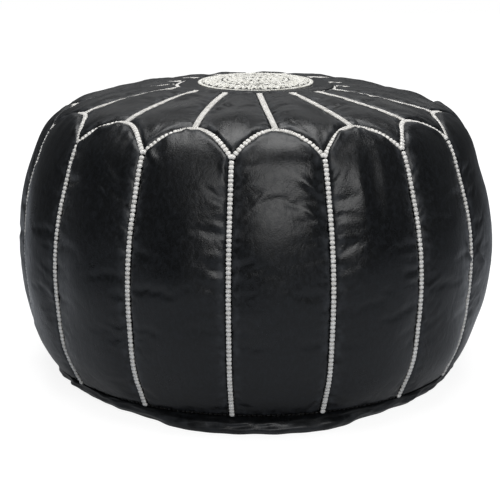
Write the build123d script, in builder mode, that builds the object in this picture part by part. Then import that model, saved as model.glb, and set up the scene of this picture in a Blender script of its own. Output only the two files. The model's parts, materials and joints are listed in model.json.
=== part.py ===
from build123d import *
import os
from math import atan2, cos, hypot, radians, sin, sqrt

# Round floor pouf of hand-sewn leather, standing on its base.
# Millimetres. +Z is up, the origin is the middle of the footprint on the floor.
# Side panels with arched tops, petals on the crown, a sewn medallion,
# a two-part base with a zip between its halves, and a filled inner bag.

# ---- the whole body ----
panel_count = 16
belly_radius = 272  # widest half-width, halfway up the sides
side_fullness = 30  # how far the belly stands out past the base seam
body_height = 333  # floor to the middle of the crown, without the medallion
junction_drop = 49  # crown middle down to the points where panel, panel and petal meet
crown_drop = 36  # how far the crown dome falls by the time it reaches the shoulder
shoulder_radius = 40
base_height = 16  # floor to the base seam
base_corner_radius = 14

# ---- leather and thread ----
leather = 1.5
stitch_width = 5  # side and arch seams
satin_width = 6  # the closer stitching between the petals
stitch_proud = 1  # thread above the leather
base_thread = 1  # the dark thread in the base's two seams
arch_depth = 26  # how far a panel's arch reaches in over the shoulder, seen from above
knot_gap = 2  # a side seam's stitching stops this far below its junction
ring_radius = 90  # middle of the stitched ring that holds the petals' inner ends
ring_width = 5

# ---- medallion ----
medallion_radius = 66
medallion_thickness = 4
embroidery_radius = 61
embroidery_thickness = 1.5

# ---- zip in the base ----
zip_length = 300  # the run of teeth
channel_width = 36
channel_depth = 12  # floor side of the leather up to the tapes
tape_thickness = 0.6
tooth_pitch = 4
tooth_length = 2
tooth_size = 1.8  # across the chain, and through its thickness
tooth_bar = 0.8
chain_gap = 2.4  # the space between the two rows that the slider's post runs in
end_stop_length = 2.5
slider_length = 11
slider_corner = 2
slider_plate = 1
slider_clearance = 0.3
post_length = 4
flange_thickness = 0.8
ear_thickness = 0.8
pin_radius = 0.6
pin_clearance = 0.05
eye_wall = 0.75
pull_length = 22
pull_width = 7
pull_neck = 3.4
pull_thickness = 1.2
pull_hole_radius = 1.3
pull_end_room = 6  # between the pull at either end of the zip and the channel's end

# ---- filling ----
bag_thickness = 0.8
soft_clearance = 0.3  # between leather, bag and filling
groove_room = 2  # filling above the slider

# ---- sizes that follow ----
gore = 360 / panel_count
half_gore = gore / 2
base_seam_radius = belly_radius - side_fullness
junction_height = body_height - junction_drop
half_span = (junction_height - base_height) / 2
belly_height = base_height + half_span
side_radius = (half_span**2 + side_fullness**2) / (2 * side_fullness)
crown_radius = (base_seam_radius**2 + crown_drop**2) / (2 * crown_drop)
crown_centre = body_height - crown_radius
panel_bottom = base_height + base_thread
ring_inner = ring_radius - ring_width / 2
ring_outer = ring_radius + ring_width / 2
reach = 2 * (belly_radius + body_height)  # longer than anything it has to cut through

channel_length = zip_length + 2 * (end_stop_length + pull_length + pull_end_room)
channel_outer_length = channel_length + 2 * leather
channel_outer_width = channel_width + 2 * leather
chain_height = channel_depth + tape_thickness / 2
chain_edge = chain_gap / 2 + tooth_size  # where a tape ends and its teeth begin
slider_inner = tooth_size / 2 + slider_clearance
slider_outer = slider_inner + slider_plate
plate_low = chain_height - slider_outer
plate_high = chain_height + slider_outer
flange_inner = chain_edge + slider_clearance
slider_half_width = flange_inner + flange_thickness
slider_x = slider_length / 2 + slider_clearance - zip_length / 2
eye_hole_radius = pin_radius + pin_clearance
eye_radius = eye_hole_radius + eye_wall
pin_height = plate_low - eye_radius - slider_clearance
ear_inner = pull_neck / 2 + slider_clearance
groove_top = plate_high + groove_room

# Where a panel's arch starts, and the plane that lies along the shoulder above it.
junction_radius = belly_radius - side_radius + sqrt(side_radius**2 - half_span**2)
foot_x = junction_radius * cos(radians(half_gore))
arch_half = junction_radius * sin(radians(half_gore))
arch_lift = crown_centre + sqrt(crown_radius**2 - (foot_x - arch_depth) ** 2) - junction_height
arch_rise = hypot(arch_depth, arch_lift)
arch_radius = (arch_half**2 + arch_rise**2) / (2 * arch_rise)
shoulder_lean = atan2(arch_depth, arch_lift)
shoulder_plane = Plane(
    origin=(foot_x, 0, junction_height),
    x_dir=(0, 1, 0),
    z_dir=(cos(shoulder_lean), 0, sin(shoulder_lean)),
)


def body_section(growth=0):
    """Half of the body's outline, X outwards and Y up, grown outwards by an even thickness."""
    with BuildSketch() as section:
        with Locations((belly_radius - side_radius, belly_height)):
            Circle(side_radius + growth)
        with Locations((0, crown_centre)):
            Circle(crown_radius + growth, mode=Mode.INTERSECT)
        with Locations((0, -growth)):
            Rectangle(reach, reach, align=(Align.MIN, Align.MIN), mode=Mode.INTERSECT)
        shoulder = section.vertices().filter_by(lambda v: v.X > leather).sort_by(Axis.Y)[-1]
        fillet(shoulder, shoulder_radius + growth)
        base_corner = section.vertices().filter_by(lambda v: v.X > leather).sort_by(Axis.Y)[0]
        fillet(base_corner, base_corner_radius + growth)
    return section.sketch


def band(outer_face, inner_face, low, high, inner=0, outer=reach):
    """The layer between two outlines, kept between two heights and two radii."""
    with BuildSketch() as layer:
        add(outer_face)
        add(inner_face, mode=Mode.SUBTRACT)
        with Locations((inner, low)):
            Rectangle(outer - inner, high - low, align=(Align.MIN, Align.MIN), mode=Mode.INTERSECT)
    return layer.sketch


def turned(face, arc=360, start=0):
    """A section on the XZ plane, turned about the axis through an arc from a start azimuth."""
    with BuildPart() as piece:
        with BuildSketch(Plane.XZ):
            add(face)
        revolve(axis=Axis.Z, revolution_arc=arc)
    return piece.part.rotate(Axis.Z, start)


def seam_slab(azimuth, width):
    """A flat slab of even width standing on the axis, along the seam at this azimuth."""
    with BuildPart() as slab:
        Box(2 * reach, width, 2 * reach)
    return slab.part.rotate(Axis.Z, azimuth)


def under_arch(growth=0):
    """Everything outside and below a round arch over the panel at azimuth 0."""
    with BuildPart() as prism:
        with BuildSketch(shoulder_plane):
            with Locations((0, arch_rise - arch_radius)):
                Circle(arch_radius + growth)
            with Locations((0, -reach / 2)):
                Rectangle(2 * reach, reach)
        extrude(amount=reach, both=True)
    return prism.part


def filling_body(shrink, groove_growth):
    """The body inside the leather, with a groove in its underside that clears the zip."""
    with BuildPart() as body:
        with BuildSketch(Plane.XZ):
            add(body_section(-shrink))
        revolve(axis=Axis.Z)
        with BuildSketch():
            Rectangle(
                channel_outer_length + 2 * groove_growth,
                channel_outer_width + 2 * groove_growth,
            )
        extrude(amount=groove_top + groove_growth, mode=Mode.SUBTRACT)
    return body.part


def save(piece, name):
    piece.label = name
    export_step(piece, f"parts/{name}.step")


os.makedirs("parts", exist_ok=True)

outline = body_section()
lining = body_section(-leather)
thread_outline = body_section(stitch_proud)
under_leather_arch = under_arch()
under_stitched_arch = under_arch(stitch_width)

# ---- side panels: one pattern, sewn edge to edge ----
with BuildPart() as panel_pattern:
    add(turned(band(outline, lining, panel_bottom, body_height, ring_outer), gore, -half_gore))
    add(under_leather_arch, mode=Mode.INTERSECT)
    add(seam_slab(half_gore, stitch_width), mode=Mode.SUBTRACT)
    add(seam_slab(-half_gore, stitch_width), mode=Mode.SUBTRACT)

# Panel 1 is centred half a gore to the right of the seam that faces -Y.
for number in range(1, panel_count + 1):
    with BuildPart() as side_panel:
        add(panel_pattern.part.rotate(Axis.Z, -90 - half_gore + gore * number))
    save(side_panel.part, f"side_panel_{number:02d}")

# ---- petals: each fills the V between two arches ----
with BuildPart() as petal_pattern:
    add(turned(band(outline, lining, belly_height, body_height, ring_outer), gore, -half_gore))
    for edge in (-half_gore, half_gore):
        add(seam_slab(edge, satin_width), mode=Mode.SUBTRACT)
        add(under_stitched_arch.rotate(Axis.Z, edge), mode=Mode.SUBTRACT)

for number in range(1, panel_count + 1):
    with BuildPart() as top_petal:
        add(petal_pattern.part.rotate(Axis.Z, -90 + gore * (number - 1)))
    save(top_petal.part, f"top_petal_{number:02d}")

# ---- stitching, one strip to a seam ----
with BuildPart() as side_stitch:
    with BuildSketch(Plane.XZ):
        add(band(thread_outline, lining, panel_bottom, junction_height - knot_gap, ring_outer))
    extrude(amount=stitch_width / 2, both=True)

with BuildPart() as arch_stitch:
    add(turned(band(thread_outline, lining, panel_bottom, reach, ring_outer), gore, -half_gore))
    add(under_stitched_arch, mode=Mode.INTERSECT)
    add(under_leather_arch, mode=Mode.SUBTRACT)

with BuildPart() as petal_stitch:
    with BuildSketch(Plane.XZ):
        add(band(thread_outline, lining, belly_height, reach, ring_outer))
    extrude(amount=satin_width / 2, both=True)
    add(under_stitched_arch, mode=Mode.SUBTRACT)

for stitch, name, first in (
    (side_stitch, "side_seam_stitching", 0),
    (arch_stitch, "arch_stitching", half_gore),
    (petal_stitch, "petal_seam_stitching", half_gore),
):
    with BuildPart() as stitching:
        with PolarLocations(0, panel_count, start_angle=first):
            add(stitch.part)
    save(stitching.part, name)

with BuildPart() as ring_stitching:
    add(turned(band(thread_outline, lining, belly_height, reach, ring_inner, ring_outer)))
save(ring_stitching.part, "ring_stitching")

# ---- middle of the crown ----
with BuildPart() as centre_disc:
    add(turned(band(outline, lining, belly_height, reach, 0, ring_inner)))
save(centre_disc.part, "centre_disc")

medallion_outline = body_section(medallion_thickness)
embroidery_outline = body_section(medallion_thickness + embroidery_thickness)

with BuildPart() as medallion:
    add(turned(band(medallion_outline, outline, belly_height, reach, 0, medallion_radius)))
save(medallion.part, "medallion_disc")

with BuildPart() as embroidery:
    add(turned(band(embroidery_outline, medallion_outline, belly_height, reach, 0, embroidery_radius)))
save(embroidery.part, "medallion_embroidery")

# ---- base: two halves turned up into a channel for the zip ----
with BuildPart() as base_blank:
    add(turned(band(outline, lining, 0, base_height)))
    with BuildSketch():
        Rectangle(channel_outer_length, channel_outer_width)
    extrude(amount=channel_depth)
    with BuildSketch():
        Rectangle(channel_length, channel_width)
    extrude(amount=channel_depth, mode=Mode.SUBTRACT)

with BuildPart() as base_front:
    add(base_blank.part)
    split(bisect_by=Plane.XZ.offset(base_thread / 2), keep=Keep.TOP)
save(base_front.part, "base_front")

with BuildPart() as base_back:
    add(base_blank.part)
    split(bisect_by=Plane.XZ.offset(-base_thread / 2), keep=Keep.BOTTOM)
save(base_back.part, "base_back")

with BuildPart() as base_join_stitching:
    add(base_blank.part)
    Box(2 * reach, base_thread, 2 * reach, mode=Mode.INTERSECT)
save(base_join_stitching.part, "base_join_stitching")

with BuildPart() as base_seam_stitching:
    add(turned(band(outline, lining, base_height, panel_bottom)))
save(base_seam_stitching.part, "base_seam_stitching")

# ---- zip: two tapes with teeth, two end stops, a slider, its pin and its pull ----
tape_width = channel_outer_width / 2 - chain_edge
tooth_count = int((zip_length - tooth_length) / tooth_pitch)

for side, name in ((-1, "front"), (1, "back")):
    with BuildPart() as zip_tape:
        with BuildSketch(Plane.XY.offset(channel_depth)):
            with Locations((0, side * (chain_edge + tape_width / 2))):
                Rectangle(channel_outer_length, tape_width)
        extrude(amount=tape_thickness)
    save(zip_tape.part, f"zip_tape_{name}")

    with BuildPart() as zip_teeth:
        with BuildSketch(Plane.XY.offset(channel_depth)):
            with Locations((0, side * (chain_edge - tooth_bar / 2))):
                Rectangle(zip_length, tooth_bar)
        extrude(amount=tape_thickness)
        with BuildSketch(Plane.XY.offset(chain_height - tooth_size / 2)):
            with Locations((side * tooth_pitch / 4, side * (chain_edge - tooth_size / 2))):
                with GridLocations(tooth_pitch, 0, tooth_count, 1):
                    Rectangle(tooth_length, tooth_size)
        extrude(amount=tooth_size)
    save(zip_teeth.part, f"zip_teeth_{name}")

with BuildPart() as zip_end_stops:
    with BuildSketch(Plane.XY.offset(chain_height - tooth_size / 2)):
        with GridLocations(zip_length + end_stop_length, 0, 2, 1):
            Rectangle(end_stop_length, 2 * chain_edge)
    extrude(amount=tooth_size)
save(zip_end_stops.part, "zip_end_stops")

with BuildPart() as zip_slider:
    for height in (plate_low, chain_height + slider_inner):
        with BuildSketch(Plane.XY.offset(height)):
            with Locations((slider_x, 0)):
                RectangleRounded(slider_length, 2 * slider_half_width, slider_corner)
        extrude(amount=slider_plate)
    with BuildSketch(Plane.XY.offset(plate_low)):
        with Locations((slider_x, 0)):
            Rectangle(post_length, chain_gap - 2 * slider_clearance)
    extrude(amount=2 * slider_outer)
    lip = slider_outer - tape_thickness / 2 - slider_clearance
    for height in (plate_low, plate_high - lip):
        with BuildSketch(Plane.XY.offset(height)):
            with Locations((slider_x, 0)):
                with GridLocations(0, flange_inner + slider_half_width, 1, 2):
                    Rectangle(slider_length - 2 * slider_corner, flange_thickness)
        extrude(amount=lip)
    with BuildSketch(Plane.XZ):
        with Locations((slider_x, pin_height)):
            Circle(eye_radius)
        with Locations((slider_x, (pin_height + plate_low) / 2)):
            Rectangle(2 * eye_radius, plate_low - pin_height)
    extrude(amount=ear_inner + ear_thickness, both=True)
    with BuildSketch(Plane.XZ):
        with Locations((slider_x, (plate_low + pin_height - eye_radius) / 2)):
            Rectangle(slider_length, plate_low - pin_height + eye_radius)
    extrude(amount=ear_inner, both=True, mode=Mode.SUBTRACT)
    with BuildSketch(Plane.XZ):
        with Locations((slider_x, pin_height)):
            Circle(pin_radius)
    extrude(amount=slider_half_width, both=True, mode=Mode.SUBTRACT)
save(zip_slider.part, "zip_slider")

with BuildPart() as pull_pin:
    with BuildSketch(Plane.XZ):
        with Locations((slider_x, pin_height)):
            Circle(pin_radius)
    extrude(amount=ear_inner + ear_thickness, both=True)
save(pull_pin.part, "pull_pin")

with BuildPart() as zip_pull:
    with BuildSketch(Plane.XZ):
        with Locations((slider_x, pin_height)):
            Circle(eye_radius)
    extrude(amount=pull_neck / 2, both=True)
    with BuildSketch(Plane.XY.offset(pin_height - pull_thickness / 2)):
        with Locations((slider_x - pull_width / 2, 0)):
            Rectangle(pull_width, pull_neck)
        with Locations((slider_x - (pull_length + pull_width) / 2, 0)):
            RectangleRounded(pull_length - pull_width, pull_width, pull_neck)
        with Locations((slider_x - pull_length + pull_width / 2, 0)):
            Circle(pull_hole_radius, mode=Mode.SUBTRACT)
    extrude(amount=pull_thickness)
    with BuildSketch(Plane.XZ):
        with Locations((slider_x, pin_height)):
            Circle(eye_hole_radius)
    extrude(amount=pull_neck, both=True, mode=Mode.SUBTRACT)
save(zip_pull.part, "zip_pull")

# ---- filling ----
bag_shrink = leather + soft_clearance
stuffing_inset = bag_thickness + soft_clearance

with BuildPart() as inner_bag:
    add(filling_body(bag_shrink, soft_clearance))
    add(filling_body(bag_shrink + bag_thickness, soft_clearance + bag_thickness), mode=Mode.SUBTRACT)
save(inner_bag.part, "inner_bag")

with BuildPart() as stuffing:
    add(filling_body(bag_shrink + stuffing_inset, soft_clearance + stuffing_inset))
save(stuffing.part, "stuffing")

print(f"seam stitching to {junction_height - knot_gap:.1f}, arch rise {arch_rise:.1f}")
print(f"slide range {(zip_length - slider_length - 2 * slider_clearance) / 1000:.4f} m")
print(f"pin at x {slider_x:.2f}, z {pin_height:.2f}")
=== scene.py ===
import json
import bpy
import numpy as np
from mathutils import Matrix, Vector

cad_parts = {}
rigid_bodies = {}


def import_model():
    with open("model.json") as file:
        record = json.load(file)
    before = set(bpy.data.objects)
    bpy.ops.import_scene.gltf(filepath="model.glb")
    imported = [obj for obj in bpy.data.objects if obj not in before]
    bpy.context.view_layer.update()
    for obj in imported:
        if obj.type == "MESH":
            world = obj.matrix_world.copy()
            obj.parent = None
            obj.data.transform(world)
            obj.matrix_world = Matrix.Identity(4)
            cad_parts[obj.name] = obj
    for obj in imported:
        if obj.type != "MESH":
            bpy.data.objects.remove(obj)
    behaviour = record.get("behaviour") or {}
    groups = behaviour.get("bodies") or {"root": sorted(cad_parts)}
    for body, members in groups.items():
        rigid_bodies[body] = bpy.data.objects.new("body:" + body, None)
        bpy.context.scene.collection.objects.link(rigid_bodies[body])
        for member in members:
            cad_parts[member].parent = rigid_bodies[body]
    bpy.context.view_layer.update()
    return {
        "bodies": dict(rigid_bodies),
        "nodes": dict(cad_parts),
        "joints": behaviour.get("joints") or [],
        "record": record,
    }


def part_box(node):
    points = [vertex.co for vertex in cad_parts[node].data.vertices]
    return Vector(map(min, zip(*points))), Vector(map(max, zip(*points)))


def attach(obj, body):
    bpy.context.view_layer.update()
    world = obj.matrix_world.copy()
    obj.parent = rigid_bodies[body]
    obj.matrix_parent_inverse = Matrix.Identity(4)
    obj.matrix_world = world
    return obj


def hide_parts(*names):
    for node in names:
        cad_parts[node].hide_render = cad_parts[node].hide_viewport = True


print("loading the frame")
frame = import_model()
mm = 0.001  # shapes are worked out in millimetres and written to meshes in metres

pouf = dict(
    gores=16,
    seamSink=4,        # the seams lie this far inside the CAD leather at the belly
    archRise=37,       # arch above its two feet, along the shoulder
    archRoundness=0.6,  # 0 is a pointed cosine arch, 1 a full parabola
    ringRadius=90,
    leather=1.5,
)
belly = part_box("side_seam_stitching")[1].x / mm - 1 - pouf["seamSink"]
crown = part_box("centre_disc")[1].z / mm
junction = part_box("side_seam_stitching")[1].z / mm + 1
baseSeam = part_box("base_seam_stitching")[0].z / mm

# The seam line from the base up to the middle of the crown: radius and height, as shares of
# the belly radius and of the height between base seam and junction.
rise = junction - baseSeam
seamLine = np.array([
    (0.896 * belly, baseSeam),
    (0.968 * belly, baseSeam + 0.167 * rise),
    (0.992 * belly, baseSeam + 0.333 * rise),
    (1.000 * belly, baseSeam + 0.500 * rise),
    (0.983 * belly, baseSeam + 0.667 * rise),
    (0.940 * belly, baseSeam + 0.833 * rise),
    (0.877 * belly, junction),
    (0.770 * belly, crown - 26.5),
    (0.560 * belly, crown - 13),
    (pouf["ringRadius"], crown - 5.8),
    (45, crown - 8.0),
    (0, crown - 8.0),
])


# Catmull-Rom curve: each span blends its two ends with slopes taken from their neighbours.
def throughPoints(points, count):
    padded = np.vstack([2 * points[0] - points[1], points, 2 * points[-1] - points[-2]])
    t = np.linspace(0, len(points) - 1, count)
    span = np.minimum(t.astype(int), len(points) - 2)
    f = (t - span)[:, None]
    a, b, c, d = (padded[span + k] for k in range(4))
    return 0.5 * (2 * b + (c - a) * f + (2 * a - 5 * b + 4 * c - d) * f**2 + (3 * b - a - 3 * c + d) * f**3)


meridian = throughPoints(seamLine, 1101)
meridianLength = np.concatenate([[0], np.cumsum(np.hypot(*np.diff(meridian, axis=0).T))])
meridianSlope = np.gradient(meridian, meridianLength, axis=0)
seamTop = meridianLength[600]  # at the junctions
ringStart = meridianLength[900]
archTop = seamTop + pouf["archRise"]

# Where years of sitting pushed the body in or out: azimuth and its spread in degrees, height
# and its spread, and how far.
sagging = [
    (-76, 16, 225, 32, 3.0), (88, 20, 190, 42, 2.0), (90, 16, 64, 24, -9.0),
    (75, 30, 314, 24, -4.0), (118, 28, 318, 24, -4.5), (-110, 48, 306, 30, -3.5),
]


def sag(azimuth, height):
    turn = np.degrees(azimuth)
    total = 0
    for middle, spread, level, reach, size in sagging:
        off = (turn - middle + 180) % 360 - 180
        total = total + size * np.exp(-(off / spread) ** 2 - ((height - level) / reach) ** 2)
    return total


seamDrift = {-3: -2.4, -2: -1.3, -1: -0.3, 1: -0.2, 2: -0.2, 3: -2.0}  # degrees, hand sewn
goreAngle = 2 * np.pi / pouf["gores"]


# Azimuth of a seam, counted from the one that faces -Y and turning towards +X.
def seamAzimuth(index):
    wrapped = (index + 8) % 16 - 8
    return index * goreAngle + np.radians(seamDrift.get(wrapped, 0))


# Point at an azimuth and a length along the seam line, lifted along the outward normal.
def onBody(azimuth, s, lift=0.0):
    radius = np.interp(s, meridianLength, meridian[:, 0])
    height = np.interp(s, meridianLength, meridian[:, 1])
    outR = np.interp(s, meridianLength, meridianSlope[:, 1])
    outZ = -np.interp(s, meridianLength, meridianSlope[:, 0])
    size = np.hypot(outR, outZ)
    lift = lift + sag(azimuth, height)
    radius = radius + lift * outR / size
    height = height + lift * outZ / size
    return np.stack([radius * np.sin(azimuth), -radius * np.cos(azimuth), height], -1)


# Smooth unevenness from -1 to 1: a sum of sine waves of about one size with random directions.
def waves(x, y, size, seed, count=14):
    rng = np.random.default_rng(seed)
    turn = rng.uniform(0, 2 * np.pi, (2, count))
    length = size * rng.uniform(0.7, 1.6, count)
    total = np.zeros(np.broadcast(x, y).shape)
    for k in range(count):
        distance = x * np.cos(turn[0, k]) + y * np.sin(turn[0, k])
        total += np.sin(2 * np.pi * distance / length[k] + turn[1, k])
    return total / np.sqrt(count) / 1.5


# Height of the arch across a panel, 1 in the middle and 0 at the feet.
def archShape(u):
    return (1 - pouf["archRoundness"]) * np.cos(np.pi * u / 2) + pouf["archRoundness"] * (1 - u * u)


crownTwist = np.radians(-3.2)  # the ring was sewn a little round from where the arches point


def twist(s):
    return crownTwist * np.clip((s - archTop) / (ringStart - archTop), 0, 1)


def makeMesh(name, points, faces, uv=None, smooth=True):
    mesh = bpy.data.meshes.new(name)
    mesh.from_pydata((np.asarray(points).reshape(-1, 3) * mm).tolist(), [], list(faces))
    if uv is not None:
        layer = mesh.uv_layers.new(name="UVMap")
        corner = np.zeros(len(mesh.loops), int)
        mesh.loops.foreach_get("vertex_index", corner)
        layer.data.foreach_set("uv", np.asarray(uv, float).reshape(-1, 2)[corner].ravel())
    mesh.polygons.foreach_set("use_smooth", [smooth] * len(mesh.polygons))
    mesh.update()
    piece = bpy.data.objects.new(name, mesh)
    bpy.context.scene.collection.objects.link(piece)
    return piece


# Quads of a grid, row by row; wrap joins the last column to the first.
def gridFaces(rows, columns, wrap=False):
    i, j = np.meshgrid(np.arange(rows - 1), np.arange(columns if wrap else columns - 1), indexing="ij")
    k = (j + 1) % columns
    low, high = i * columns, (i + 1) * columns
    return np.stack([low + j, low + k, high + k, high + j], -1).reshape(-1, 4)


def setAttribute(piece, name, values):
    layer = piece.data.attributes.new(name, "FLOAT", "POINT")
    layer.data.foreach_set("value", np.asarray(values, float).ravel())


def thicken(piece, thickness):
    wall = piece.modifiers.new("thickness", "SOLIDIFY")
    wall.thickness = thickness * mm
    wall.offset = -1
    return piece


def place(piece, slot, *nodes, body="pouf"):
    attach(piece, body)
    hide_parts(*nodes)
    return piece


# sRGB hex to linear.
def hexColour(text):
    c = np.array([int(text[k:k + 2], 16) for k in (1, 3, 5)]) / 255
    linear = np.where(c <= 0.04045, c / 12.92, ((c + 0.055) / 1.055) ** 2.4)
    return (*linear.tolist(), 1)


def addNode(tree, kind, inputs=(), **settings):
    node = tree.nodes.new(kind)
    for key, value in settings.items():
        setattr(node, key, value)
    for key, value in dict(inputs).items():
        if isinstance(value, bpy.types.NodeSocket):
            tree.links.new(value, node.inputs[key])
        else:
            node.inputs[key].default_value = value
    return node


def newMaterial(name, **shader):
    material = bpy.data.materials.new(name)
    material.use_nodes = True
    surface = material.node_tree.nodes["Principled BSDF"]
    for key, value in shader.items():
        surface.inputs[key.replace("_", " ")].default_value = value
    return material, material.node_tree, surface


def mapRange(tree, value, fromLow, fromHigh, toLow, toHigh):
    return addNode(tree, "ShaderNodeMapRange", {
        "Value": value, "From Min": fromLow, "From Max": fromHigh, "To Min": toLow, "To Max": toHigh,
    }).outputs["Result"]


# Arithmetic on sockets or numbers.
def work(tree, operation, *values, **settings):
    return addNode(tree, "ShaderNodeMath", dict(enumerate(values)), operation=operation, **settings).outputs[0]


# From one colour to another as the factor goes from 0 to 1.
def blend(tree, factor, low, high):
    inputs = {"Factor": factor, "A": low, "B": high}
    return addNode(tree, "ShaderNodeMix", inputs, data_type="RGBA").outputs["Result"]


leatherLook = dict(
    colour="#0b0c0d", bloom="#16181b", rubbed="#2c2e31", grainSize=1.5, grainDepth=0.08, wrinkleSize=4,
    wrinkleDepth=0.17, creaseSize=26, creaseDepth=0.14, stretch=1.6, glossy=0.25, dull=0.38,
)


# Vegetable-tanned goat leather, dyed black and waxed: a pebbled grain, fine wrinkles drawn out
# along the piece, softer creases, a wax gloss that is patchy, a greyish bloom between the
# wrinkles, and duller grey where the edges are rubbed.
def goatLeather(name, look, coordinates):
    material, tree, surface = newMaterial(name, IOR=1.5, Specular_IOR_Level=0.33)
    spot = addNode(tree, "ShaderNodeTexCoord").outputs[coordinates]
    squash = {"Vector": spot, "Scale": (1, 1 / look["stretch"], 1)}
    drawn = addNode(tree, "ShaderNodeMapping", squash).outputs["Vector"]

    def noise(vector, size, **settings):
        inputs = {"Vector": vector, "Scale": 1 / (size * mm), **settings}
        return addNode(tree, "ShaderNodeTexNoise", inputs).outputs["Fac"]

    def ridges(value, sharpness):
        away = work(tree, "ABSOLUTE", work(tree, "SUBTRACT", value, 0.5))
        return mapRange(tree, away, 0.0, sharpness, 0.0, 1.0)

    patches = noise(spot, 75, Detail=3.0)
    wrinkles = noise(drawn, look["wrinkleSize"], Detail=4.0, Roughness=0.62, Distortion=0.8)
    creases = ridges(noise(drawn, look["creaseSize"], Detail=3.0, Roughness=0.5, Distortion=0.6), 0.12)
    rubbed = addNode(tree, "ShaderNodeAttribute", attribute_name="rubbed").outputs["Fac"]
    worn = work(tree, "MULTIPLY", rubbed, mapRange(tree, noise(spot, 10, Detail=4.0), 0.4, 0.65, 0.0, 1.0))
    bloom = mapRange(tree, wrinkles, 0.42, 0.72, 0.0, 1.0)
    colour = blend(tree, bloom, hexColour(look["colour"]), hexColour(look["bloom"]))
    colour = blend(tree, worn, colour, hexColour(look["rubbed"]))
    tree.links.new(colour, surface.inputs["Base Color"])
    roughness = mapRange(tree, patches, 0.35, 0.65, look["glossy"], look["dull"])
    roughness = work(tree, "MULTIPLY_ADD", bloom, 0.10, roughness)
    roughness = work(tree, "MULTIPLY_ADD", worn, 0.15, roughness)
    tree.links.new(roughness, surface.inputs["Roughness"])
    grain = {"Vector": spot, "Scale": 1 / (look["grainSize"] * mm)}
    cells = addNode(tree, "ShaderNodeTexVoronoi", grain).outputs["Distance"]
    bump = None
    for height, depth in ((cells, "grainDepth"), (wrinkles, "wrinkleDepth"), (creases, "creaseDepth")):
        inputs = {"Height": height, "Strength": 1.0, "Distance": look[depth] * mm}
        if bump is not None:
            inputs["Normal"] = bump
        bump = addNode(tree, "ShaderNodeBump", inputs).outputs["Normal"]
    tree.links.new(bump, surface.inputs["Normal"])
    return material


# Mercerised cotton laid side by side: strands run across the stitch, with a soft sheen. Its darker colour is painted
# shade in the grooves between the strands, mixed with a random mottle of the cotton.
def spunThread(name, colour, paintedGrooveShade, strands):
    material, tree, surface = newMaterial(name, Roughness=0.6, Sheen_Weight=0.25, Sheen_Roughness=0.4)
    uv = addNode(tree, "ShaderNodeUVMap").outputs["UV"]
    along = addNode(tree, "ShaderNodeSeparateXYZ", {0: uv}).outputs["X"]
    strand = work(tree, "COSINE", work(tree, "MULTIPLY", along, 2 * np.pi * strands))
    spot = addNode(tree, "ShaderNodeTexCoord").outputs["Object"]
    fibres = {"Vector": spot, "Scale": 1 / (6 * mm), "Detail": 2.0}
    mottle = addNode(tree, "ShaderNodeTexNoise", fibres).outputs["Fac"]
    # painted shade: darker in the grooves between strands, plus the cotton's random mottle
    tone = mapRange(tree, work(tree, "MULTIPLY_ADD", strand, 0.18, mottle), 0.2, 0.75, 0.0, 1.0)
    tree.links.new(blend(tree, tone, hexColour(paintedGrooveShade), hexColour(colour)), surface.inputs["Base Color"])
    bump = addNode(tree, "ShaderNodeBump", {"Height": strand, "Strength": 0.6, "Distance": 0.25 * mm})
    tree.links.new(bump.outputs["Normal"], surface.inputs["Normal"])
    return material


# Plain-woven cotton: over and under threads at a real spacing, matte. Its darker colour is painted shade where the
# threads dip under each other.
def wovenCotton(name, colour, paintedGrooveShade, threadSize):
    material, tree, surface = newMaterial(name, Roughness=0.85, Sheen_Weight=0.3)
    spot = addNode(tree, "ShaderNodeTexCoord").outputs["Object"]
    parts = addNode(tree, "ShaderNodeSeparateXYZ", {0: spot})
    pitch = np.pi / (threadSize * mm)
    across = [work(tree, "SINE", work(tree, "MULTIPLY", parts.outputs[axis], pitch)) for axis in "XY"]
    weave = work(tree, "MULTIPLY", *across)
    # painted shade where the threads dip under each other
    tone = mapRange(tree, weave, -1.0, 1.0, 0.0, 1.0)
    tree.links.new(blend(tree, tone, hexColour(paintedGrooveShade), hexColour(colour)), surface.inputs["Base Color"])
    bump = addNode(tree, "ShaderNodeBump", {"Height": weave, "Strength": 0.5, "Distance": 0.2 * mm})
    tree.links.new(bump.outputs["Normal"], surface.inputs["Normal"])
    return material


# Cast brass with a dark patina left in the hollows: warm metal, unevenly dulled.
def agedBrass(name):
    material, tree, surface = newMaterial(name, Metallic=1.0)
    spot = addNode(tree, "ShaderNodeTexCoord").outputs["Object"]
    stains = {"Vector": spot, "Scale": 1 / (3 * mm), "Detail": 4.0}
    patina = addNode(tree, "ShaderNodeTexNoise", stains).outputs["Fac"]
    tone = mapRange(tree, patina, 0.35, 0.65, 0.0, 1.0)
    tree.links.new(blend(tree, tone, hexColour("#5c4a2c"), hexColour("#a98b55")), surface.inputs["Base Color"])
    tree.links.new(mapRange(tree, patina, 0.35, 0.65, 0.5, 0.3), surface.inputs["Roughness"])
    return material


print("mixing the materials")
leather = goatLeather("waxedGoatLeather", leatherLook, "UV")
plainLeather = goatLeather("waxedGoatLeatherOffcuts", {**leatherLook, "stretch": 1.0}, "Object")
# the second colour of each thread and cloth is painted shade in the grooves between its strands or threads
ivoryThread = spunThread("ivoryCottonThread", "#f3f1ed", "#cac7c1", 4)
whiteThread = spunThread("whiteSilkyThread", "#f4f3ee", "#c4c2b8", 2)
blackThread = spunThread("blackWaxedThread", "#0b0b0c", "#050505", 3)
zipCloth = wovenCotton("zipTapeTwill", "#161617", "#0a0a0b", 0.7)
calico = wovenCotton("unbleachedCalico", "#d8ccb0", "#b8aa8c", 0.9)
wadding = wovenCotton("cottonWadding", "#e8e4d8", "#cfc9b8", 4)
brass = agedBrass("agedCastBrass")

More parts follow.
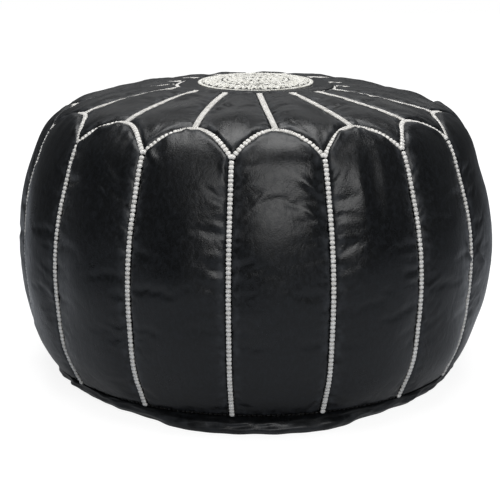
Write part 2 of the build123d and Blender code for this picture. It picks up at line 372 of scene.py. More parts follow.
panelShape = dict(
    columns=45, rows=131, bulge=5.0, edgeDrop=3.2, edgeWidth=3.2, lip=1.6, pucker=1.7, puckerSize=15, dent=1.5,
    dentSize=95,
)
petalShape = dict(
    columns=37, rows=61, bulge=4.6, edgeDrop=3.0, edgeWidth=3.4, lip=1.0, pucker=1.3, puckerSize=13, dent=1.2,
    dentSize=60,
)
clothLook = dict(surplus=0.008, pressure=14.0, frames=16, cap=3.5, stiffness=25, bending=1.5, weight=0.2, unrest=0.5)


# A panel's grid: u runs across it, closer together beside the seams, and v up to its arch.
def panelGrid(number, columns, rows):
    u = np.linspace(-1, 1, columns)
    u = (np.sin(np.pi * u / 2) * 0.35 + u * 0.65)[None, :]
    v = np.linspace(0, 1, rows)[:, None]
    top = seamTop + pouf["archRise"] * archShape(u)
    s = v * top
    left, right = seamAzimuth(number - 1), seamAzimuth(number)
    azimuth = left + (right - left) * (u + 1) / 2 + 0 * s
    halfWidth = np.interp(s, meridianLength, meridian[:, 0]) * (right - left) / 2
    return dict(
        azimuth=azimuth, s=s, x=u * halfWidth, toSide=(1 - abs(u)) * halfWidth, toArch=(top - s) * 0.8, toEnd=s + 0 * u,
        swell=(1 - u**2) ** 0.8 * (1 - (1 - v) ** 8) * (1 - v**10) ** 0.5, u=u + 0 * s,
    )


# A petal's grid: u across it, v from its pointed end in to the ring.
def petalGrid(number, columns, rows):
    u = np.linspace(-1, 1, columns)[None, :]
    v = np.linspace(0, 1, rows)[:, None]
    outer = seamTop + pouf["archRise"] * archShape(1 - abs(u))
    s = outer + v * (ringStart - outer)
    middle = seamAzimuth(number - 1)
    left, right = (seamAzimuth(number - 2) + middle) / 2, (middle + seamAzimuth(number)) / 2
    azimuth = middle + np.where(u < 0, (middle - left) * u, (right - middle) * u) + 0 * s
    azimuth = azimuth + twist(s)
    halfWidth = np.interp(s, meridianLength, meridian[:, 0]) * goreAngle / 2
    return dict(
        azimuth=azimuth, s=s, x=u * halfWidth, toSide=(1 - abs(u)) * halfWidth, toArch=(s - outer) * 0.75,
        toEnd=ringStart - s, swell=(1 - u**2) ** 0.8 * (1 - (1 - v) ** 5) * (1 - v**5), u=u + 0 * s,
    )


# Doubles a grid of vectors in both directions along Catmull-Rom curves.
def refine(vectors, rows, columns):
    fewRows, fewColumns = vectors.shape[:2]
    tall = throughPoints(vectors.reshape(fewRows, -1), rows).reshape(rows, fewColumns, 3)
    wide = throughPoints(tall.transpose(1, 0, 2).reshape(fewColumns, -1), columns)
    return wide.reshape(columns, rows, 3).transpose(1, 0, 2)


# Blows the sewn leather up from inside as cloth held at its seams. It is cut a little larger
# than its place, so it swells in the middle and gathers beside the stitches. Gives how far
# each grid point moved.
def blowUp(grids):
    start = np.concatenate([grid.reshape(-1, 3) for grid in grids])
    faces, held, first = [], [], 0
    for grid in grids:
        rows, columns = grid.shape[:2]
        index = np.arange(rows * columns).reshape(rows, columns) + first
        faces.append(gridFaces(rows, columns) + first)
        held.append(np.unique(np.concatenate([index[0], index[-1], index[:, 0], index[:, -1]])))
        first += rows * columns
    piece = makeMesh("sewnLeather", start, np.concatenate(faces))
    piece.vertex_groups.new(name="sewn").add(np.concatenate(held).tolist(), 1, "REPLACE")
    cloth = piece.modifiers.new("cloth", "CLOTH")
    cloth.collision_settings.use_collision = False
    settings = cloth.settings
    settings.quality = 5
    settings.mass = clothLook["weight"]
    settings.air_damping = 3
    settings.tension_stiffness = settings.compression_stiffness = clothLook["stiffness"]
    settings.shear_stiffness = clothLook["stiffness"] / 2
    settings.bending_stiffness = clothLook["bending"]
    settings.vertex_group_mass = "sewn"
    settings.shrink_min = settings.shrink_max = -clothLook["surplus"]
    settings.use_pressure = True
    settings.uniform_pressure_force = clothLook["pressure"]
    settings.effector_weights.gravity = 0
    cloth.point_cache.frame_end = clothLook["frames"]
    for frame in range(1, clothLook["frames"] + 1):
        bpy.context.scene.frame_set(frame)
    swollen = piece.evaluated_get(bpy.context.evaluated_depsgraph_get()).data
    moved = np.zeros(start.size)
    swollen.vertices.foreach_get("co", moved)
    moved = moved.reshape(-1, 3) / mm - start
    size = np.linalg.norm(moved, axis=1, keepdims=True)
    print("cloth moved, mean and most in mm:", size.mean().round(2), size.max().round(2))
    moved *= clothLook["cap"] * np.tanh(size / clothLook["cap"]) / np.maximum(size, 1e-6)
    mesh = piece.data
    bpy.data.objects.remove(piece)
    bpy.data.meshes.remove(mesh)
    bpy.context.scene.frame_set(1)
    ends = np.cumsum([grid.shape[0] * grid.shape[1] for grid in grids])[:-1]
    return [part.reshape(grid.shape) for part, grid in zip(np.split(moved, ends), grids)]


# Ridges pressed into single pieces: the piece, points of the ridge (mm across from its middle,
# mm along from the base seam), its width and its height.
folds = [
    ("side_panel_16", [(-46, 286), (-36, 274), (-24, 262)], 5, 1.3),
    ("side_panel_16", [(-17, 319), (-11, 313), (-6, 305)], 2.4, 0.9),
    ("side_panel_16", [(-3, 321), (-4, 314), (-7, 304)], 2.2, 0.7),
    ("side_panel_16", [(44, 282), (40, 270), (42, 256)], 3, 0.9),
    ("side_panel_02", [(-42, 281), (-27, 296), (-19, 305), (-5, 319)], 2.8, 1.9),
    ("side_panel_02", [(-3, 322), (-1, 312), (1, 298)], 2.2, 0.9),
    ("side_panel_02", [(6, 321), (7, 311), (10, 300)], 2.2, 0.9),
    ("side_panel_02", [(-12, 288), (-15, 250), (-13, 205)], 8, 1.0),
    ("side_panel_02", [(11, 292), (13, 250), (10, 200)], 8, 0.9),
    ("side_panel_03", [(-37, 322), (-35, 308), (-37, 290)], 2.4, 1.2),
    ("side_panel_14", [(33, 303), (40, 294), (47, 287)], 4, 1.5),
    ("side_panel_15", [(8, 264), (20, 250), (33, 241)], 4, 0.8),
    ("side_panel_15", [(4, 246), (17, 236), (30, 226)], 4, 0.7),
    ("side_panel_01", [(18, 257), (31, 246), (44, 238)], 4, 0.8),
    ("side_panel_01", [(22, 228), (34, 216), (45, 204)], 4, 0.7),
    ("side_panel_01", [(-20, 318), (-8, 310), (4, 308)], 3, 0.7),
    ("side_panel_03", [(26, 168), (37, 152), (47, 140)], 4, 0.9),
    ("side_panel_04", [(-47, 152), (-34, 140), (-22, 128)], 4, 0.9),
    ("top_petal_01", [(-30, 345), (-12, 372), (-6, 410)], 6, 0.9),
    ("top_petal_02", [(20, 340), (10, 370), (2, 405)], 6, 0.8),
    ("top_petal_16", [(-18, 350), (-8, 380), (0, 420)], 6, 0.9),
]

foldLook = dict(strength=2.6, fade=0.6)  # times the height given above, and how bluntly a ridge ends


def foldLift(name, x, s):
    total = 0 * x
    for owner, path, width, size in folds:
        if owner != name:
            continue
        path = throughPoints(np.array(path, float), 24)
        away = np.full(x.shape, 1e9)
        share = np.zeros(x.shape)
        for k in range(len(path) - 1):
            (ax, ay), (bx, by) = path[k], path[k + 1]
            reach = (bx - ax) ** 2 + (by - ay) ** 2
            t = np.clip(((x - ax) * (bx - ax) + (s - ay) * (by - ay)) / reach, 0, 1)
            distance = np.hypot(x - ax - t * (bx - ax), s - ay - t * (by - ay))
            share = np.where(distance < away, (k + t) / (len(path) - 1), share)
            away = np.minimum(away, distance)
        ends = np.sin(np.pi * np.clip(share, 0.02, 0.98)) ** foldLook["fade"]
        total += foldLook["strength"] * size * np.exp(-(away / width) ** 2) * ends
    return total


# How high the petals' inner ends roll over the ring: high towards -Y and -X, low to the right.
def ringLip(azimuth):
    turn = (np.degrees(azimuth) + 180) % 360 - 180
    return 1.2 + 2.2 * np.exp(-((turn + 12) / 42) ** 4) + 0.5 * np.sin(azimuth * 5 + 1)


# The lens between the seams alone, before any detail.
def plainLift(grid, look):
    flatBehind = 0.45 * np.clip(-np.cos(grid["azimuth"]), 0, 1) ** 2 if look is petalShape else 0
    return look["bulge"] * grid["swell"] * (1 - flatBehind)


# The dip at each seam, the lip that rolls over an arch, puckers square to the seams and dents.
def detailLift(grid, look, seed):
    side, arch, end = grid["toSide"], grid["toArch"], grid["toEnd"]
    dip = np.exp(-(side / look["edgeWidth"]) ** 2)
    dip = dip + np.exp(-(arch / look["edgeWidth"]) ** 2) * (1 - np.exp(-side / 4))
    lift = -look["edgeDrop"] * np.minimum(dip + np.exp(-(end / look["edgeWidth"]) ** 2), 1.1)
    lift += look["lip"] * np.exp(-((arch - 7) / 5) ** 2) * (1 - np.exp(-side / 12))
    along = grid["s"] + 40 * np.sign(grid["u"])
    patchy = np.clip(0.45 + 0.8 * waves(along, grid["x"], 110, 500 + seed, 6), 0.1, 1.3)
    gathered = waves(along, 0.3 * grid["x"], look["puckerSize"], 100 + seed, 8)
    gathered = gathered + 0.5 * waves(along, 0.2 * grid["x"], look["puckerSize"] / 2, 150 + seed, 8)
    lift += look["pucker"] * patchy * (np.exp(-side / 14) - np.exp(-side / 2.5)) * gathered
    lift += look["pucker"] * np.exp(-arch / 12) * waves(grid["x"], 0 * along, look["puckerSize"], 200 + seed, 8)
    if look is petalShape:
        lift += ringLip(grid["azimuth"]) * np.exp(-((end - 5) / 4.5) ** 2) * (1 - 0.75 * np.exp(-side / 5))
    free = (1 - np.exp(-side / 14)) * (1 - np.exp(-end / 14))
    return lift + look["dent"] * free * waves(grid["azimuth"] * belly, grid["s"], look["dentSize"], 5)


print("cutting and stuffing the leather")
cuts = [(f"side_panel_{k:02d}", panelGrid, panelShape, k) for k in range(1, pouf["gores"] + 1)]
cuts += [(f"top_petal_{k:02d}", petalGrid, petalShape, k) for k in range(1, pouf["gores"] + 1)]
coarse = []
for name, cut, look, k in cuts:
    grid = cut(k, (look["columns"] + 1) // 2, (look["rows"] + 1) // 2)
    unrest = clothLook["unrest"] * grid["swell"] * waves(grid["x"], grid["s"], 45, 300 + k)
    coarse.append(onBody(grid["azimuth"], grid["s"], plainLift(grid, look) + unrest))
moves = blowUp(coarse)
for (name, cut, look, k), move in zip(cuts, moves):
    grid = cut(k, look["columns"], look["rows"])
    seed = k + (50 if cut is petalGrid else 0)
    lift = plainLift(grid, look) + detailLift(grid, look, seed) + foldLift(name, grid["x"], grid["s"])
    points = onBody(grid["azimuth"], grid["s"], lift) + refine(move, look["rows"], look["columns"])
    cutPlace = np.stack([grid["x"] * mm + 0.37 * seed, grid["s"] * mm], -1)
    piece = makeMesh("leather_" + name, points, gridFaces(*points.shape[:2]), uv=cutPlace)
    edge = np.minimum(np.minimum(grid["toSide"], grid["toArch"]), grid["toEnd"])
    setAttribute(piece, "rubbed", np.exp(-((edge - 7) / 4) ** 2))
    piece.data.materials.append(leather)
    thicken(piece, pouf["leather"])
    place(piece, "black_leather", name)


# A closed pad: a ball stretched to length along the seam, width across it and height, with its
# round sections pushed towards a box. Returns points, uv and faces.
def bead(length, width, height, boxiness, rings=6, around=10):
    a = np.linspace(-np.pi / 2, np.pi / 2, rings + 1)[1:-1, None]
    b = np.linspace(0, 2 * np.pi, around, endpoint=False)[None, :]
    ball = np.stack([np.cos(a) * np.cos(b), np.sin(a) + 0 * b, np.cos(a) * np.sin(b)], -1).reshape(-1, 3)
    ball = np.vstack([[0, -1, 0], ball, [0, 1, 0]])
    shape = np.sign(ball) * abs(ball) ** boxiness * np.array([length, width, height]) / 2
    inner = gridFaces(rings - 1, around, wrap=True) + 1
    first = np.arange(around)
    last = len(ball) - 1
    caps = [np.stack([0 * first, 1 + first, 1 + (first + 1) % around], -1)]
    caps.append(np.stack([0 * first + last, last - around + (first + 1) % around, last - around + first], -1))
    return shape, ball[:, [0, 1]] / 2 + 0.5, inner[:, ::-1], np.vstack(caps)


# Copies of one pad in a single mesh, from the places of all the copies' points.
def padMesh(name, placed, shape, material):
    points, uv, quads, triangles = shape
    start = (np.arange(len(placed)) * len(points))[:, None, None]
    faces = (quads[None] + start).reshape(-1, 4).tolist() + (triangles[None] + start).reshape(-1, 3).tolist()
    piece = makeMesh(name, placed, faces, uv=np.tile(uv, (len(placed), 1)))
    piece.data.materials.append(material)
    return piece


# One pad at each place, turned to the seam.
def sew(name, slot, node, material, shape, centres, alongs, outs):
    axes = np.stack([alongs, np.cross(outs, alongs), outs], 1)
    placed = centres[:, None, :] + np.einsum("pk,nkx->npx", shape[0], axes)
    return place(padMesh(name, placed, shape, material), slot, node)


def unit(vectors):
    return vectors / np.linalg.norm(vectors, axis=-1, keepdims=True)


# Even places along a path, with the direction along it and a hand's unevenness.
def stitchPlaces(path, out, pitch, rng, jitter=0.05):
    length = np.concatenate([[0], np.cumsum(np.linalg.norm(np.diff(path, axis=0), axis=1))])
    count = max(2, int(round(length[-1] / pitch)))
    at = (np.arange(count) + 0.5 + rng.uniform(-jitter, jitter, count)) * length[-1] / count
    pick = lambda values: np.stack([np.interp(at, length, values[:, k]) for k in range(3)], -1)
    along = unit(np.gradient(path, length, axis=0))
    centres, alongs, outs = pick(path), unit(pick(along)), unit(pick(out))
    tilt = rng.normal(0, 0.05, (count, 1))
    alongs = unit(alongs + tilt * np.cross(outs, alongs))
    outs = unit(outs - np.sum(outs * alongs, -1, keepdims=True) * alongs)
    return centres + outs * rng.normal(0, 0.08, (count, 1)), alongs, outs


def seamPath(azimuth, s, lift):
    path = onBody(azimuth, s, lift)
    return path, unit(onBody(azimuth, s, lift + 1.0) - path)


def gather(places):
    return [np.concatenate(values) for values in zip(*places)]


stitchLook = dict(pitch=4.45, width=5.2, length=4.5, height=3.0, lift=0.4, boxiness=0.62)
satinLook = dict(pitch=2.3, width=6.4, length=2.5, height=2.6, lift=0.5)


def sideSeams():
    rng = np.random.default_rng(11)
    places = []
    for index in range(pouf["gores"]):
        s = np.linspace(1.5, seamTop - 2, 160)
        path, out = seamPath(seamAzimuth(index) + 0 * s, s, stitchLook["lift"])
        places.append(stitchPlaces(path, out, stitchLook["pitch"], rng))
    shape = bead(stitchLook["length"], stitchLook["width"], stitchLook["height"], stitchLook["boxiness"])
    return sew("sideSeamStitching", "ivory_thread", "side_seam_stitching", ivoryThread, shape, *gather(places))


# Separate blocks up the two limbs of each arch, close satin over its top.
def archSeams():
    rng = np.random.default_rng(12)
    blocks, satin = [], []
    for number in range(1, pouf["gores"] + 1):
        turn = rng.uniform(0.2, 0.5, 2)
        limbs = (
            (-1, -turn[0], blocks, stitchLook), (-turn[0], turn[1], satin, satinLook), (turn[1], 1, blocks, stitchLook),
        )
        left, right = seamAzimuth(number - 1), seamAzimuth(number)
        for low, high, places, look in limbs:
            u = np.linspace(low, high, 61)
            azimuth = left + (right - left) * (u + 1) / 2
            path, out = seamPath(azimuth, seamTop + pouf["archRise"] * archShape(u), look["lift"])
            places.append(stitchPlaces(path, out, look["pitch"], rng))
    block = bead(stitchLook["length"], stitchLook["width"], stitchLook["height"], stitchLook["boxiness"])
    sew("archStitching", "ivory_thread", "arch_stitching", ivoryThread, block, *gather(blocks))
    close = bead(satinLook["length"], satinLook["width"] * 0.8, satinLook["height"], 0.7, 6, 8)
    sew("archStitchingTops", "ivory_thread", "arch_stitching", ivoryThread, close, *gather(satin))


def petalSeams():
    rng = np.random.default_rng(13)
    places = []
    for number in range(1, pouf["gores"] + 1):
        s = np.linspace(archTop + 2, ringStart - 3, 100)
        azimuth = (seamAzimuth(number - 1) + seamAzimuth(number)) / 2 + twist(s)
        path, out = seamPath(azimuth, s, satinLook["lift"])
        places.append(stitchPlaces(path, out, satinLook["pitch"], rng))
    shape = bead(satinLook["length"], satinLook["width"], satinLook["height"], 0.7, 6, 8)
    return sew("petalSeamStitching", "ivory_thread", "petal_seam_stitching", ivoryThread, shape, *gather(places))


def ringSeam():
    azimuth = np.linspace(0, 2 * np.pi, 361)
    path, out = seamPath(azimuth, ringStart + 0 * azimuth, -0.6)
    shape = bead(stitchLook["length"], stitchLook["width"], 2.4, 0.75)
    places = stitchPlaces(path, out, stitchLook["pitch"], np.random.default_rng(14))
    return sew("ringStitching", "ivory_thread", "ring_stitching", ivoryThread, shape, *places)


def baseSeamThread():
    azimuth = np.linspace(0, 2 * np.pi, 361)
    path, out = seamPath(azimuth, 0 * azimuth, -2.4)
    places = stitchPlaces(path, out, 5.0, np.random.default_rng(15))
    shape = bead(4.2, 1.4, 1.4, 0.9, 5, 6)
    return sew("baseSeamThread", "black_thread", "base_seam_stitching", blackThread, shape, *places)


print("sewing the seams")
baseSeamThread()
sideSeams()
archSeams()
petalSeams()
ringSeam()


# A section of radius and height carried round the axis. Its last ring is closed across, and its
# first too where startCap is on. lift adds unevenness to the height by azimuth and radius, and
# push adds to the radius by azimuth and height.
def turnedSurface(name, section, around=192, lift=None, push=None, startCap=True):
    azimuth = np.linspace(0, 2 * np.pi, around, endpoint=False)[None, :]
    radius = section[:, 0][:, None] + 0 * azimuth
    height = section[:, 1][:, None] + 0 * azimuth
    if push is not None:
        radius = radius + push(azimuth, height) * np.clip(radius / 150, 0, 1)
    if lift is not None:
        height = height + lift(azimuth, radius)
    points = np.stack([radius * np.sin(azimuth), -radius * np.cos(azimuth), height], -1)
    faces = gridFaces(len(section), around, wrap=True).tolist()
    faces.append([(len(section) - 1) * around + k for k in range(around)])
    if startCap:
        faces.append(list(range(around))[::-1])
    return makeMesh(name, points, faces)


def centreDisc():
    s = np.linspace(ringStart, meridianLength[-1] - 0.5, 40)
    radius = np.interp(s, meridianLength, meridian[:, 0])
    height = np.interp(s, meridianLength, meridian[:, 1])
    dip = 2.4 * np.exp(-((pouf["ringRadius"] - radius) / 3.4) ** 2)
    section = np.stack([radius, height + 1.2 * (1 - np.exp(-(pouf["ringRadius"] - radius) / 8)) - dip], -1)

    def uneven(azimuth, radius):  # only outside the medallion, which lies flat on it
        return 0.5 * waves(radius * np.sin(azimuth), radius * np.cos(azimuth), 40, 21) * (radius > 68)

    piece = turnedSurface("centreDisc", section, startCap=False, lift=uneven)
    setAttribute(piece, "rubbed", np.zeros(len(piece.data.vertices)))
    piece.data.materials.append(plainLeather)
    thicken(piece, pouf["leather"])
    return place(piece, "black_leather", "centre_disc")


medallion = dict(radius=67.5, foot=8.3, thickness=5.6, dome=1.4, tilt=0.028)


# Height of the padded disc: a low dome that rounds down at its rim, dipping a little to -Y.
def medallionTop(radius, y):
    share = radius / medallion["radius"]
    inside = np.clip(1 - share ** 14, 0, 1)
    swell = medallion["thickness"] * np.sqrt(inside) + medallion["dome"] * (1 - share**2)
    return crown - medallion["foot"] + swell + medallion["tilt"] * y


def medallionDisc():
    radius = np.concatenate([np.linspace(1, 0.95, 16), np.linspace(0.94, 0.004, 30)]) * medallion["radius"]
    top = np.stack([radius, medallionTop(radius, 0)], -1)
    level = crown - medallion["foot"]
    foot = np.array([[0.3, level - 1], [medallion["radius"] * 0.97, level - 1.5]])
    tilt = lambda azimuth, radius: -medallion["tilt"] * radius * np.cos(azimuth)
    piece = turnedSurface("medallionDisc", np.vstack([foot, top]), 160, lift=tilt)
    setAttribute(piece, "rubbed", np.zeros(len(piece.data.vertices)))
    piece.data.materials.append(plainLeather)
    place(piece, "black_leather", "medallion_disc")
    return piece


# Satin stitches laid on the medallion from start to end, in plan: centre, direction, length.
def laidStitches(starts, ends, seed):
    rng = np.random.default_rng(seed)
    starts, ends = (np.asarray(p) + rng.normal(0, 0.12, np.shape(p)) for p in (starts, ends))
    middle = (starts + ends) / 2
    height = medallionTop(np.linalg.norm(middle, axis=1), middle[:, 1]) + 0.2
    centres = np.column_stack([middle, height])
    across = np.column_stack([ends - starts, 0 * height])
    size = np.linalg.norm(across, axis=1)
    return centres, across / size[:, None], size


def polar(radius, angle):
    return np.stack([radius * np.sin(angle), -radius * np.cos(angle)], -1)


# A ring of leaves, each filled by slanting stitches from its midrib to its two edges.
def leafStitches(count, inner, outer, halfWidth, slant, pitch, offset=0.0):
    steps = int((outer - inner) / pitch)
    along = inner + (outer - inner) * (np.arange(steps) + 0.5) / steps
    share = (along - inner) / (outer - inner)
    wide = halfWidth * np.sin(np.pi * share ** 0.8) ** 0.7
    starts, ends = [], []
    rng = np.random.default_rng(count + steps)
    for k in range(count):
        angle = 2 * np.pi * (k + offset) / count
        outward, aside = polar(1.0, angle), polar(1.0, angle + np.pi / 2)
        for side in (-1, 1):
            rib = along[:, None] * outward + 0.35 * side * aside
            edge = (along + slant)[:, None] * outward + (side * wide)[:, None] * aside
            keep = (wide > 1.2) & (rng.uniform(0, 1, steps) > 0.13)
            starts.append(rib[keep])
            ends.append(edge[keep])
    return np.concatenate(starts), np.concatenate(ends)


def ringStitches(inner, outer, pitch):
    count = int(np.pi * (inner + outer) / pitch)
    angle = np.arange(count) * 2 * np.pi / count
    return polar(inner + 0 * angle, angle), polar(outer + 0 * angle, angle)


def embroidery():
    layers = [
        ringStitches(61.5, 66, 1.7),
        leafStitches(24, 38, 61, 4.5, 3.2, 1.75),
        leafStitches(24, 44, 61, 2.8, 1.8, 1.75, 0.5),
        ringStitches(33.5, 37.5, 1.7),
        leafStitches(12, 12, 33, 4.2, 2.6, 1.75),
        leafStitches(12, 18, 33, 2.7, 1.6, 1.75, 0.5),
        leafStitches(6, 1, 13, 3.4, 1.4, 1.5),
    ]
    starts, ends = (np.concatenate(p) for p in zip(*layers))
    centres, across, size = laidStitches(starts, ends, 31)
    shape = bead(1.7, 1.0, 2.0, 0.8, 6, 8)
    up = np.array([0.0, 0.0, 1.0]) + 0 * centres
    along = np.cross(across, up)
    stretched = np.stack([np.ones(len(size)), size * 1.04, np.ones(len(size))], -1)[:, None, :]
    axes = np.stack([along, across, up], 1)
    placed = centres[:, None, :] + np.einsum("npk,nkx->npx", shape[0][None] * stretched, axes)
    return place(padMesh("medallionEmbroidery", placed, shape, whiteThread), "white_thread", "medallion_embroidery")


print("embroidering the medallion")
centreDisc()
medallionDisc()
embroidery()

base = dict(
    seamIn=2.0, belly=2.5, foot=229, sagOut=19, sagAt=6, sagSpread=26, lump=2.8, lumpSize=56, slotHalfWidth=14,
    slotHalfLength=176, lip=3.0,
)
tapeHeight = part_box("zip_tape_front")[0].z / mm


# From the base seam down round the edge, across the flat, and up at the zip's slot. The edge
# has slumped outwards at the front. side is -1 for the front half and 1 for the back.
def baseHalf(name, node, side):
    seamRadius = seamLine[0, 0]
    spread = np.arccos(0.6 / seamRadius)
    azimuth = np.linspace(-spread, spread, 241)[None, :]
    t = np.linspace(0, 1, 21)[:, None]
    along = azimuth * seamRadius
    lumps = waves(along, 30 * t, base["lumpSize"], 51 + side) + 0.5 * waves(along, 60 * t, 24, 57 + side)
    lumps = base["lump"] * lumps
    off = np.degrees(azimuth) - base["sagAt"] if side < 0 else 180
    foot = base["foot"] + base["sagOut"] * np.exp(-(off / base["sagSpread"]) ** 4)
    # leans from the seam to the foot, bellies out in between and turns under at the floor
    radius = seamRadius - base["seamIn"] + (foot + 4 - seamRadius) * t**1.2
    bellied = np.sin(np.pi * np.clip(t * 0.75 + 0.04, 0, 1)) ** 0.7
    radius = radius + (base["belly"] + base["seamIn"] + lumps * np.minimum(t * 4, 1)) * bellied
    radius = radius - 5 * np.clip((t - 0.7) / 0.3, 0, 1) ** 2
    height = (baseSeam - 0.3) * (1 - t**1.25) ** 0.7
    radius = np.vstack([radius[:1] - 9.0, radius])  # tucked in behind the seam
    height = np.vstack([[[baseSeam + 0.6]], height])
    rimX, rimY = radius * np.sin(azimuth), -radius * np.cos(azimuth)
    startX, startY = rimX[-1:], rimY[-1:]
    slotX = azimuth / spread * startX[:, -1:] * 0.93
    opening = np.clip(1 - (abs(slotX) / base["slotHalfLength"]) ** 6, 0, 1) ** 0.5
    slotY = -(0.6 + base["slotHalfWidth"] * opening)
    across = np.linspace(0, 1, 34)[1:, None] ** 0.9
    flatX = startX + (slotX - startX) * across
    flatY = startY + (slotY - startY) * across
    toSlot = np.maximum(slotY - flatY, 0)
    turnUp = tapeHeight * opening * np.exp(-(toSlot / base["lip"]) ** 1.5)
    turnUp = turnUp + 1.7 * (1 - opening) * np.exp(-(toSlot / 2.2) ** 2)  # the join's groove
    soft = np.clip(0.6 * (1 + waves(flatX, flatY, 60, 55)), 0, 1.6)
    soft = soft * np.clip(across * (1 - across) * 6, 0, 1)
    x, y = np.vstack([rimX, flatX]), np.vstack([rimY, flatY])
    z = np.vstack([height + 0 * rimX, turnUp + soft])
    points = np.stack([x, -side * y, z], -1)
    faces = gridFaces(*x.shape)
    piece = makeMesh(name, points, faces[:, ::-1] if side < 0 else faces)
    rubbed = np.zeros(x.shape)
    rubbed[10:22] = 0.7
    setAttribute(piece, "rubbed", rubbed)
    piece.data.materials.append(plainLeather)
    thicken(piece, pouf["leather"])
    place(piece, "black_leather", node)
    return piece


print("closing the base")
baseHalf("baseFront", "base_front", -1)
baseHalf("baseBack", "base_back", 1)

inside = dict(bagGap=8.0, fillingGap=10.0, floorGap=3.4, overZip=17.0, zipHalfWidth=22, zipHalfLength=186)


# The seam line drawn in by a gap, closed under the crown and over the base, raised in a trough
# over the zip and pressed in where the leather is.
def softBody(name, node, slot, material, gap, floorGap):
    s = np.linspace(2, meridianLength[-1] - 0.5, 70)
    side = np.stack([np.interp(s, meridianLength, meridian[:, k]) for k in (0, 1)], -1)
    slope = np.stack([np.interp(s, meridianLength, meridianSlope[:, k]) for k in (0, 1)], -1)
    side = side - gap * np.stack([slope[:, 1], -slope[:, 0]], -1)
    turn = np.linspace(0, np.pi / 2, 8)[1:]
    cornerHeight = floorGap + (side[0, 1] - floorGap) * (1 - np.sin(turn))
    corner = np.stack([side[0, 0] - 16 * (1 - np.cos(turn)), cornerHeight], -1)[::-1]
    flat = np.stack([np.linspace(0.5, corner[0, 0] - 3, 60), np.full(60, floorGap)], -1)
    section = np.vstack([flat, corner, side, [[0.5, side[-1, 1]]]])

    def troughAndSag(azimuth, radius):
        rings = np.arange(len(section))[:, None]
        x, y = radius * np.sin(azimuth), radius * np.cos(azimuth)
        over = 1 / (1 + np.exp((abs(x) - inside["zipHalfLength"]) / 1.5))
        over = over / (1 + np.exp((abs(y) - inside["zipHalfWidth"]) / 1.5))
        return np.where(rings < 60, over * (inside["overZip"] - floorGap + gap / 2), 0)

    def pressedIn(azimuth, height):
        return np.minimum(sag(azimuth, height), 0)

    piece = turnedSurface(name, section, 180, lift=troughAndSag, push=pressedIn)
    piece.data.materials.append(material)
    place(piece, slot, node)
    return piece


print("filling it")
softBody("innerBag", "inner_bag", "cotton", calico, inside["bagGap"], inside["floorGap"])
softBody("cottonFilling", "stuffing", "filling", wadding, inside["fillingGap"], inside["floorGap"] + 1.5)

finishes = {
    "base_join_stitching": blackThread, "zip_tape_front": zipCloth, "zip_tape_back": zipCloth,
    "zip_teeth_front": brass, "zip_teeth_back": brass, "zip_end_stops": brass, "zip_slider": brass,
    "pull_pin": brass, "zip_pull": brass,
}
for name, material in finishes.items():
    frame["nodes"][name].data.materials.clear()
    frame["nodes"][name].data.materials.append(material)

view = dict(seamTurn=5.636, distance=5.333, height=1.8225, pitch=14.684, yaw=0.2555, lens=89.64)


def lookAt(lamp, target):
    lamp.rotation_euler = (Vector(target) - lamp.location).to_track_quat("-Z", "Y").to_euler()


def makeCamera():
    camera = bpy.data.objects.new("camera", bpy.data.cameras.new("camera"))
    camera.data.lens = view["lens"]
    camera.data.sensor_width = 36
    turn = np.radians(view["seamTurn"])
    far = view["distance"] * belly * mm
    camera.location = (far * np.sin(turn), -far * np.cos(turn), (view["height"] * belly + baseSeam) * mm)
    camera.rotation_euler = (np.radians(90 - view["pitch"]), 0, turn + np.radians(view["yaw"]))
    bpy.context.scene.collection.objects.link(camera)
    bpy.context.scene.camera = camera


def areaLamp(name, location, size, power):
    data = bpy.data.lights.new(name, "AREA")
    data.shape = "RECTANGLE"
    data.size, data.size_y = size
    data.energy = power
    lamp = bpy.data.objects.new(name, data)
    lamp.location = location
    lookAt(lamp, (0, 0, 0.17))
    bpy.context.scene.collection.objects.link(lamp)


# Shares of the white that glossy things show: on the floor near the pouf and further out, in
# metres from its middle, and in the room.
stage = dict(
    near=0.4, far=0.9, nearGloss=0.21, farGloss=0.07, roomGloss=0.01, whiteFrom=0.3, nearWhite=0.88,
    keyPower=49, windowPower=30, backPower=4,
)


# The white is there for the camera and for rays that go through things, and inGloss of it for
# rays off anything glossy: black leather would turn grey in a wholly white room.
def raysToWhite(tree, inGloss):
    rays = addNode(tree, "ShaderNodeLightPath").outputs
    clear = work(tree, "MAXIMUM", rays["Is Camera Ray"], rays["Is Transmission Ray"])
    return work(tree, "MULTIPLY_ADD", rays["Is Glossy Ray"], inGloss, clear, use_clamp=True)


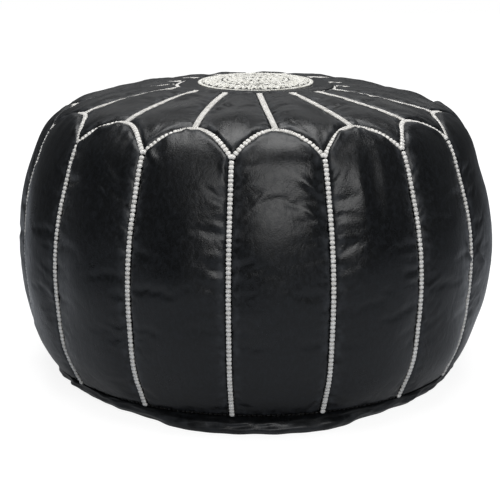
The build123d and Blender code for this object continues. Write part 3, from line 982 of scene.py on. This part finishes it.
def makeStage():
    corners = np.array([(-6, -6, 0), (6, -6, 0), (6, 6, 0), (-6, 6, 0)]) / mm
    floor = makeMesh("floor", corners, [(0, 1, 2, 3)], smooth=False)
    material = bpy.data.materials.new("paleSeamlessPaper")
    material.use_nodes = True
    tree = material.node_tree
    tree.nodes.clear()
    spot = addNode(tree, "ShaderNodeTexCoord").outputs["Object"]
    away = addNode(tree, "ShaderNodeVectorMath", {0: spot}, operation="LENGTH").outputs["Value"]
    inGloss = mapRange(tree, away, stage["near"], stage["far"], stage["nearGloss"], stage["farGloss"])
    seen = raysToWhite(tree, inGloss)
    paper = addNode(tree, "ShaderNodeBsdfDiffuse", {"Color": (0.40, 0.43, 0.48, 1)})
    strength = mapRange(tree, away, stage["whiteFrom"], stage["far"], stage["nearWhite"], 1.0)
    white = addNode(tree, "ShaderNodeEmission", {"Color": (1, 1, 1, 1), "Strength": strength})
    lit = addNode(tree, "ShaderNodeBsdfDiffuse", {"Color": (0.25, 0.25, 0.25, 1)})
    shown = addNode(tree, "ShaderNodeAddShader", {0: white.outputs[0], 1: lit.outputs[0]})
    both = addNode(tree, "ShaderNodeMixShader", {0: seen, 1: paper.outputs[0], 2: shown.outputs[0]})
    addNode(tree, "ShaderNodeOutputMaterial", {"Surface": both.outputs[0]})
    floor.data.materials.append(material)
    world = bpy.data.worlds.new("studio")
    bpy.context.scene.world = world
    world.use_nodes = True
    tree = world.node_tree
    tree.nodes.clear()
    seen = raysToWhite(tree, stage["roomGloss"])
    room = addNode(tree, "ShaderNodeBackground", {"Color": (0.92, 0.96, 1.0, 1), "Strength": 0.10})
    white = addNode(tree, "ShaderNodeBackground", {"Color": (1, 1, 1, 1), "Strength": 1.0})
    both = addNode(tree, "ShaderNodeMixShader", {0: seen, 1: room.outputs[0], 2: white.outputs[0]})
    addNode(tree, "ShaderNodeOutputWorld", {"Surface": both.outputs[0]})
    areaLamp("keySoftbox", (0.0, 0.0, 2.3), (1.8, 1.4), stage["keyPower"])
    areaLamp("frontWindow", (0.7, -2.3, 1.5), (1.8, 1.1), stage["windowPower"])
    areaLamp("backSoftbox", (-0.2, 1.9, 1.5), (2.4, 1.0), stage["backPower"])


print("setting the stage")
makeCamera()
makeStage()
bpy.context.scene.view_settings.view_transform = "Standard"
